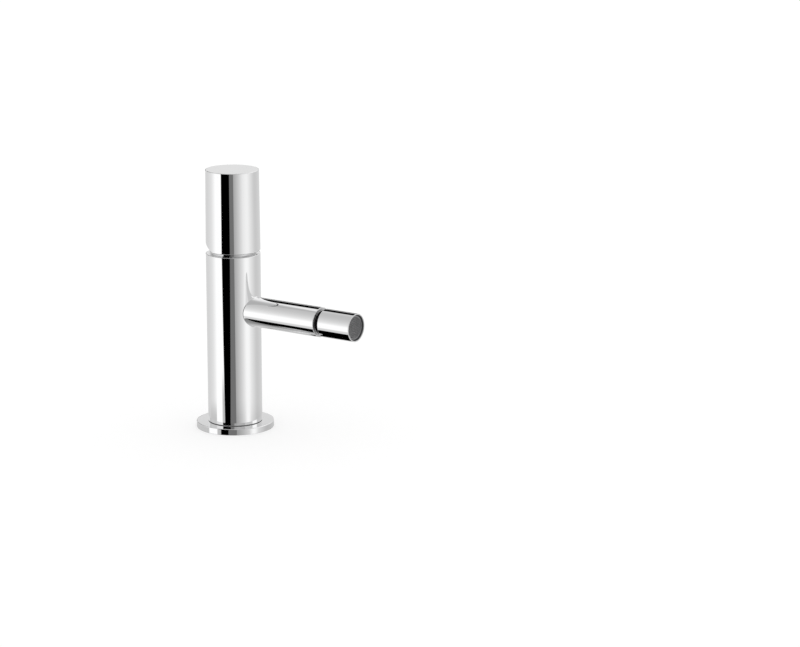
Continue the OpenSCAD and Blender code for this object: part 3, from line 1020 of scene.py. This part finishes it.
@dataclass
class Nozzle:
    """The nozzle on its ball, with the aerator in its end."""

    ball_r: float = 6.5
    ball_flat: float = 5.0
    ball_bore_r: float = 2.5
    neck_r: float = 4.4
    back: float = 72.6
    end: float = 96.4
    r: float = 9.0
    edge: float = 0.3
    rim_edge: float = 0.1
    back_t: float = 4.0
    bore_r: float = 7.5
    seat_x: float = 90.2
    rim_r: float = 8.3
    housing_x: float = 91.4
    housing_r: float = 7.2
    screen_r: float = 7.5
    screen_x: float = 94.4
    screen_end: float = 95.4
    housing_edge: float = 0.12
    wire_r: float = 0.18
    wire_pitch: float = 1.0
    wire_sides: int = 6
    wire_steps: int = 4
    weave_margin: float = 0.3
    weaves: tuple[Span, ...] = ((95.05, 0.3), (94.7, 1.1))
    hoop_w: float = 0.25
    hoop_back: float = 0.05
    ball_steps: int = 24

    def shell(self) -> None:
        """Turns the nozzle's shell."""
        skin = Skin("nozzle_skin")
        outline = rounded(
            [
                Turn(self.r, self.back, self.edge),
                Turn(self.r, self.end, self.rim_edge),
                Turn(self.rim_r, self.end, self.rim_edge / 2.0),
                Turn(self.rim_r, self.seat_x),
                Turn(self.bore_r, self.seat_x),
                Turn(self.bore_r, self.back + self.back_t),
                Turn(self.neck_r, self.back + self.back_t),
                Turn(self.neck_r, self.back, FINE),
            ]
        )
        # The back face takes the rougher chrome with painted shade for the joint
        skin.turn(outline, LEVEL, dull_and_shaded=range(len(outline) - EDGE_STEPS - 1, len(outline)))
        skin.dress(CHROME, Body.NOZZLE, "nozzle_shell")

    def ball(self) -> None:
        """Turns the swivel ball with its neck and bore; its dark tone also stands in for the shade in the
        joint.
        """
        skin = Skin("ball_skin")
        first = -math.asin(self.ball_flat / self.ball_r)
        last = math.acos(self.neck_r / self.ball_r)
        arc: list[Corner] = []
        for k in range(self.ball_steps + 1):
            angle = first + (last - first) * k / self.ball_steps
            normal = Vector((math.cos(angle), math.sin(angle)))
            arc.append((self.ball_r * normal + Vector((0.0, JOINT_X)), normal))
        neck_end = self.back + self.back_t
        flat_x = JOINT_X - self.ball_flat
        tail = rounded(
            [
                Turn(self.neck_r, JOINT_X),
                Turn(self.neck_r, neck_end),
                Turn(self.ball_bore_r, neck_end, EASED),
                Turn(self.ball_bore_r, flat_x, EASED),
                Turn(arc[0][0].x, flat_x),
            ]
        )
        neck = [(arc[-1][0], Vector((1.0, 0.0)))]
        # The tail's first corner only gives the neck its direction, and its last one closes on the arc
        skin.turn(arc + neck + tail[2:-1], LEVEL, count=BALL_COUNT)
        # The ball's dark acetal also paints the shade in the gap between the spout and the nozzle
        skin.dress(DARK_ACETAL, Body.NOZZLE, "swivel_ball")

    def housing(self) -> None:
        """Turns the aerator's housing."""
        outline = [
            Turn(self.housing_r, self.housing_x, SMALL),
            Turn(self.rim_r, self.housing_x),
            Turn(self.rim_r, self.screen_end, self.housing_edge),
            Turn(self.screen_r, self.screen_end, CRISP),
            Turn(self.screen_r, self.screen_x),
            Turn(self.housing_r, self.screen_x),
        ]
        Turning(
            "aerator_ring", "aerator_housing", Body.NOZZLE, DARK_ACETAL, outline, LEVEL, BALL_COUNT
        ).build()

    def wire(self, skin: Skin, offset: float, x: float, spin: float, phase: int, reach: float) -> None:
        """Lays one wire of the screen over and under those that cross it.

        Args:
            skin: The screen's skin.
            offset: The wire's distance from the middle.
            x: Middle of the weave along the spout.
            spin: Direction of the wire in the screen's plane.
            phase: Which crossings the wire passes over, 0 or 1.
            reach: Radius at which the wire ends.
        """
        half = math.sqrt(reach**2 - offset**2)
        count = max(self.wire_steps, math.ceil(half * 2.0 / self.wire_pitch * self.wire_steps))
        along = Vector((0.0, math.cos(spin), math.sin(spin)))
        side = Vector((0.0, -math.sin(spin), math.cos(spin)))
        outs = [math.cos(a) * side + math.sin(a) * X for a in once_round(self.wire_sides)]
        rows: list[list[Corner]] = []
        for i in range(count + 1):
            s = -half + 2.0 * half * i / count
            sway = self.wire_r * math.cos(math.pi * (s / self.wire_pitch + phase))
            middle = Vector((x + sway, 0.0, SPOUT_Z)) + offset * side + s * along
            rows.append([(middle + self.wire_r * out, out) for out in outs])
        skin.rows(rows, shut=False)

    def screen(self) -> None:
        """Weaves the aerator's two layers of wire and turns the hoop that holds them."""
        skin = Skin("wire_screen")
        reach = self.screen_r - self.weave_margin
        rows = int(reach / self.wire_pitch)
        for x, spin in self.weaves:
            for i in range(-rows, rows + 1):
                self.wire(skin, i * self.wire_pitch, x, spin, i % 2, reach)
                self.wire(skin, i * self.wire_pitch, x, spin + math.pi / 2.0, (i + 1) % 2, reach)
        inner, front = reach - self.hoop_w, self.screen_end - self.hoop_back
        hoop = rounded(
            [
                Turn(inner, self.screen_x),
                Turn(self.screen_r, self.screen_x, CRISP),
                Turn(self.screen_r, front, FINE),
                Turn(inner, front, FINE),
            ]
        )
        skin.turn(hoop, LEVEL, count=RING_COUNT)
        skin.dress(SCREEN, Body.NOZZLE, "aerator_screen")

    def build(self) -> None:
        """Builds the nozzle's pieces."""
        self.shell()
        self.ball()
        self.housing()
        self.screen()
        dress_solids(RUBBER, "aerator_seal")


@dataclass
class Cartridge:
    """The cartridge and what holds it, all inside the body; the solids keep their shapes."""

    mouldings: tuple[str, ...] = ("cartridge_base", "cartridge_housing", "turret", "disc_carrier")
    seals: tuple[str, ...] = ("seal_hot", "seal_cold", "seal_outlet", "base_oring", "turret_oring")
    discs: tuple[str, ...] = ("fixed_disc", "moving_disc")

    def build(self) -> None:
        """Dresses the cartridge's solids."""
        dress_solids(ACETAL, *self.mouldings)
        dress_solids(RUBBER, *self.seals)
        dress_solids(CERAMIC, *self.discs)
        dress_solids(BRASS, "retaining_nut")
        dress_solids(STEEL, "pivot_pin")


@dataclass(frozen=True)
class Card:
    """A card that stands round the set and shows in the polished parts.

    Attributes:
        left: Direction of the left edge round the set, in degrees.
        right: Direction of the right edge.
        low: Height of the lower edge above the horizon, in degrees.
        high: Height of the upper edge.
        level: How light the card is.
        soft: Half the width of the soft sides, in degrees.
        lean_left: How fast the left edge curves away towards the foot.
        lean_right: How fast the right edge curves away towards the foot.
        fade: Half the height of the soft ends, as a sine.
    """

    left: float
    right: float
    low: float
    high: float
    level: float
    soft: float = 0.8
    lean_left: float = 0.0
    lean_right: float = 0.0
    fade: float = 0.02


@dataclass(frozen=True)
class Strip:
    """A soft strip of the surroundings that shows in the spout, bounded along the axes.

    Attributes:
        x: Where it starts, is full, starts to end and has ended along x.
        y: Where it starts and is full along y.
        z: Where it starts, is full, starts to end and has ended along z.
        level: How light it is.
    """

    x: tuple[float, ...]
    y: tuple[float, ...]
    z: tuple[float, ...]
    level: float


@dataclass
class Studio:
    """Pale floor, soft even light, the cards that the plating mirrors, and the camera.

    Directions are unit vectors, so a bound along an axis is a part of 1.

    Attributes:
        azimuth: The camera's direction round the set, in degrees.
        elevation: The camera's height above the horizon, in degrees.
        place: Where the camera stands, in metres.
        lens: The camera's focal length, in millimetres.
        sensor: Width of its sensor, in millimetres.
        far: How far it sees, in metres.
        floor_r: Radius of the floor, in metres.
        floor_z: Height of the floor, just below the deck's plane.
        floor_sides: Number of sides of the floor's disc.
        floor_grey: The floor's own tone.
        floor_glow: What the camera sees on top of that tone.
        gain: How light the mirrored surroundings are as a whole.
        sky_start: Height over which the horizon gives way to what is overhead.
        sky_lift: Where along x that height rises, and by how much.
        front_x: Where along x the front's own sky takes over.
        front_y: Where along y the front's sky turns from its near to its far level.
        front_near: The front sky's level on the near side.
        front_z: Height over which its far side darkens.
        front_far: Its level on the far side, below and above that height.
        ground_start: Height over which the horizon gives way to the ground.
        ground_y: Where along y the ground turns from its near to its far level.
        ground_level: The ground's near and far level.
        deck_edge: Height of the deck's far edge.
        deck_level: How light the deck is beside what is above it.
        pit_x: The dark pit's bounds along x.
        pit_y: Where it ends along y.
        pit_z: Where it starts below the horizon.
        pit_turn: Where along x its end along y comes nearer.
        pit_shift: By how much it comes nearer.
        lean_start: Height below which the cards' sides lean.
        lean_most: Depth below that height from which they run straight on.
        strips: Strips that only the spout and the nozzle mirror.
        horizon: Level at the horizon, by direction round the set in degrees.
        overhead: Level above the spout, by the angle over it from front to back in degrees.
        cards: The cards, each in front of those before it.
    """

    azimuth: float = 34.4152
    elevation: float = 13.4586
    place: Triple = (1.126225, -1.454702, 0.507449)
    lens: float = 131.839
    sensor: float = 36.0
    far: float = 100.0
    floor_r: float = 9.0
    floor_z: float = -0.0001
    floor_sides: int = 64
    floor_grey: float = 0.5
    floor_glow: float = 0.52
    gain: float = 1.08
    sky_start: Span = (0.03, 0.18)
    sky_lift: Triple = (-0.45, -0.05, 0.34)
    front_x: Span = (-0.3, 0.0)
    front_y: Span = (-0.4, 0.5)
    front_near: float = 0.46
    front_z: Span = (0.7, 0.81)
    front_far: Span = (0.86, 0.6)
    ground_start: Span = (-0.35, -0.75)
    ground_y: Span = (-0.7, 0.1)
    ground_level: Span = (0.32, 0.66)
    deck_edge: Span = (-0.257, -0.268)
    deck_level: float = 0.82
    pit_x: tuple[float, ...] = (-0.8, -0.72, -0.32, -0.2)
    pit_y: Span = (0.9, 0.7)
    pit_z: Span = (-0.59, -0.64)
    pit_turn: Span = (-0.573, -0.5742)
    pit_shift: float = 0.5
    lean_start: float = -0.19
    lean_most: float = 0.085
    strips: tuple[Strip, ...] = (
        Strip((-0.612, -0.6, -0.55, -0.54), (0.0, 0.2), (0.26, 0.3, 0.655, 0.69), 0.0),
        Strip((-0.612, -0.6, -0.574, -0.572), (0.1, 0.2), (0.69, 0.71, 0.79, 0.81), 0.82),
    )
    horizon: tuple[Span, ...] = (
        (-180.0, 0.67),
        (-168.0, 0.7),
        (-155.0, 0.75),
        (-144.0, 0.85),
        (-131.0, 1.0),
        (-100.0, 1.0),
        (-49.0, 0.38),
        (-43.0, 0.42),
        (-35.0, 0.5),
        (-27.0, 0.58),
        (-18.0, 0.69),
        (-9.0, 0.8),
        (5.0, 0.87),
        (14.0, 0.87),
        (31.0, 0.73),
        (49.0, 0.6),
        (58.0, 0.57),
        (73.0, 0.59),
        (94.0, 0.63),
        (128.0, 0.65),
        (172.0, 0.65),
        (180.0, 0.67),
    )
    overhead: tuple[Span, ...] = (
        (0.0, 1.0),
        (12.0, 0.867),
        (20.0, 0.783),
        (28.0, 0.715),
        (43.0, 0.625),
        (59.0, 0.558),
        (77.0, 0.515),
        (98.0, 0.505),
        (106.0, 0.53),
        (116.0, 0.58),
        (126.0, 0.66),
        (140.0, 0.74),
        (154.0, 0.72),
        (162.0, 0.685),
        (168.0, 0.735),
        (180.0, 0.68),
    )
    cards: tuple[Card, ...] = (
        Card(-180.0, -138.5, -36.0, -15.1, 0.54, 1.0, fade=0.004),
        Card(-137.0, -108.0, -40.0, -14.4, 1.0),
        Card(-138.3, -122.0, -50.0, -25.5, 0.66, fade=0.07),
        Card(-108.0, -90.0, -36.0, -14.6, 0.5, 3.0, fade=0.006),
        Card(-180.0, -139.0, 13.9, 20.0, 0.6, 4.0, fade=0.01),
        Card(-42.0, -8.0, 13.9, 34.0, 0.44, 6.0, fade=0.01),
        Card(-8.0, 34.0, 3.0, 34.0, 0.585, 5.0),
        Card(-4.0, 14.0, -40.0, -11.8, 0.93, 8.0, fade=0.01),
        Card(75.0, 112.0, 20.0, 60.0, 1.0, 6.0),
        Card(120.0, 150.0, -9.3, 9.3, 0.0, 2.0, fade=0.012),
        Card(136.0, 166.0, 17.5, 37.0, 0.0, 3.0),
        Card(26.0, 52.0, 14.6, 24.0, 1.0, 4.0, fade=0.006),
        Card(28.0, 66.0, 20.0, 38.0, 0.95, 4.0, fade=0.06),
        Card(-84.0, -48.4, -36.0, 0.0, 0.158),
        Card(-84.0, -56.0, 0.0, 34.0, 0.155, 6.0),
        Card(-102.3, -65.6, -36.0, 0.0, 0.0, 0.8, 950.0, -1250.0),
        Card(-107.3, -72.0, 0.0, 34.0, 0.0),
        Card(42.0, 82.0, -44.0, -17.8, 0.8, 5.0),
        Card(82.0, 104.0, -44.0, -17.8, 0.03, 1.5),
    )

    def floor(self) -> None:
        """Lays the floor, a wide pale disc that keeps the shadow."""
        r, z, ring = self.floor_r, self.floor_z, once_round(self.floor_sides)
        points = [(r * math.cos(a), r * math.sin(a), z) for a in ring]
        mesh = bpy.data.meshes.new("floor")
        mesh.from_pydata(points, [], [list(range(self.floor_sides))])
        paint = bpy.data.materials.new("floor_paint")
        paint.use_nodes = True
        wiring = Wiring(paint.node_tree)
        grey = self.floor_grey
        seen = wiring.add("ShaderNodeLightPath").outputs["Is Camera Ray"]
        matt = wiring.add("ShaderNodeBsdfDiffuse", {"Color": (grey, grey, grey, 1.0)})
        glow = wiring.add("ShaderNodeEmission", {"Strength": wiring.product(seen, self.floor_glow)})
        both = wiring.add("ShaderNodeAddShader", {0: matt.outputs[0], 1: glow.outputs[0]})
        wiring.add("ShaderNodeOutputMaterial", {"Surface": both.outputs[0]})
        mesh.materials.append(paint)
        made = bpy.data.objects.new("floor", mesh)
        made.visible_glossy = False
        bpy.context.scene.collection.objects.link(made)

    def mirrored(self, wiring: Wiring) -> bpy.types.NodeSocket:
        """Wires the level that the polished parts see in each direction.

        Args:
            wiring: The world's nodes.

        Returns:
            The level's socket.
        """
        way = wiring.add("ShaderNodeTexCoord").outputs["Generated"]
        x, y, z = wiring.add("ShaderNodeSeparateXYZ", {0: way}).outputs
        around = wiring.product(wiring.sum(Op.ANGLE, y, x), 180.0 / math.pi)
        share = wiring.sum(Op.ADD, wiring.product(around, 1.0 / 360.0), 0.5)
        level = wiring.ramp(share, [(angle / 360.0 + 0.5, tone) for angle, tone in self.horizon])
        height = wiring.sum(Op.SUBTRACT, z, wiring.step(x, *self.sky_lift[:2], 0.0, self.sky_lift[2]))
        level = wiring.blend(wiring.step(height, *self.sky_start), level, self.sky(wiring, x, y, z))
        ground = wiring.step(y, *self.ground_y, *self.ground_level)
        level = wiring.blend(wiring.step(z, *self.ground_start), level, ground)
        level = wiring.product(level, wiring.step(z, *self.deck_edge, 1.0, self.deck_level))
        level = wiring.blend(self.pit(wiring, x, y, z), level, 0.0)
        for strip in self.strips:
            axes = ((x, strip.x), (y, strip.y), (z, strip.z))
            cover = wiring.product(*(wiring.fence(*axis) for axis in axes))
            level = wiring.blend(cover, level, strip.level)
        for card in self.cards:
            level = self.put_card(wiring, card, around, z, level)
        return level

    def sky(self, wiring: Wiring, x: Input, y: Input, z: Input) -> Input:
        """Wires the level overhead, which differs above the spout and in front of it.

        Args:
            wiring: The world's nodes.
            x: The direction's part along the spout.
            y: Its part across the spout.
            z: Its part upwards.

        Returns:
            The level's socket.
        """
        over = wiring.sum(Op.ANGLE, z, wiring.product(y, -1.0))
        share = wiring.product(over, 1.0 / math.pi)
        above = wiring.ramp(share, [(angle / 180.0, tone) for angle, tone in self.overhead])
        far = wiring.step(z, *self.front_z, *self.front_far)
        front = wiring.step(y, *self.front_y, self.front_near, far)
        return wiring.blend(wiring.step(x, *self.front_x), above, front)

    def pit(self, wiring: Wiring, x: Input, y: Input, z: Input) -> Input:
        """Wires the cover of the dark pit below the spout.

        Args:
            wiring: The world's nodes.
            x: The direction's part along the spout.
            y: Its part across the spout.
            z: Its part upwards.

        Returns:
            The cover's socket.
        """
        past = wiring.sum(Op.ADD, y, wiring.step(x, *self.pit_turn, 0.0, self.pit_shift))
        return wiring.product(
            wiring.fence(x, self.pit_x), wiring.step(past, *self.pit_y), wiring.step(z, *self.pit_z)
        )

    def put_card(
        self,
        wiring: Wiring,
        card: Card,
        around: bpy.types.NodeSocket,
        z: bpy.types.NodeSocket,
        level: bpy.types.NodeSocket,
    ) -> bpy.types.NodeSocket:
        """Puts one card in front of what the plating mirrors.

        Args:
            wiring: The world's nodes.
            card: The card.
            around: Direction round the set, in degrees.
            z: Sine of the height above the horizon.
            level: The level behind the card.

        Returns:
            The level with the card in place.
        """
        low, high = (math.sin(math.radians(angle)) for angle in (card.low, card.high))
        depth = wiring.sum(Op.LARGER, wiring.sum(Op.SUBTRACT, self.lean_start, z), 0.0)
        depth = wiring.sum(Op.SMALLER, depth, self.lean_most)
        lean = wiring.product(depth, depth)
        left = wiring.sum(Op.SUBTRACT, around, wiring.product(lean, card.lean_left))
        right = wiring.sum(Op.SUBTRACT, around, wiring.product(lean, card.lean_right))
        cover = wiring.product(
            wiring.step(left, card.left - card.soft, card.left + card.soft),
            wiring.step(right, card.right - card.soft, card.right + card.soft, 1.0, 0.0),
            wiring.fence(z, (low - card.fade, low + card.fade, high - card.fade, high + card.fade)),
        )
        return wiring.blend(cover, level, card.level)

    def light(self) -> None:
        """Lights the set evenly from all sides; only mirrored rays see the cards."""
        world = bpy.data.worlds.new("studio")
        bpy.context.scene.world = world
        world.use_nodes = True
        wiring = Wiring(world.node_tree)
        mirror = wiring.add("ShaderNodeLightPath").outputs["Is Glossy Ray"]
        level = wiring.blend(mirror, 1.0, wiring.product(self.mirrored(wiring), self.gain))
        sky = wiring.add("ShaderNodeBackground", {"Color": (1.0, 1.0, 1.0, 1.0), "Strength": level})
        wiring.add("ShaderNodeOutputWorld", {"Surface": sky.outputs[0]})

    def camera(self) -> None:
        """Stands the camera where the photograph was taken from."""
        a, e = math.radians(self.azimuth), math.radians(self.elevation)
        back = Vector((math.sin(a) * math.cos(e), -math.cos(a) * math.cos(e), math.sin(e)))
        data = bpy.data.cameras.new("camera")
        data.lens = self.lens
        data.sensor_width = self.sensor
        data.sensor_fit = "HORIZONTAL"
        data.clip_end = self.far
        made = bpy.data.objects.new("camera", data)
        made.location = self.place
        made.rotation_euler = (-back).to_track_quat("-Z", "Y").to_euler()
        bpy.context.scene.collection.objects.link(made)
        bpy.context.scene.camera = made

    def build(self) -> None:
        """Sets up the floor, the light, the camera and the view."""
        self.camera()
        self.floor()
        self.light()
        bpy.context.scene.view_settings.view_transform = "Standard"


def main() -> None:
    """Builds the sub-assemblies and the studio in order."""
    logging.basicConfig(level=logging.INFO, format="%(name)s: %(message)s")
    for part in (Studio(), Column(), Spout(), Nozzle(), Handle(), Cartridge()):
        part.build()
        LOG.info("%s done", type(part).__name__)


if __name__ == "__main__":
    main()
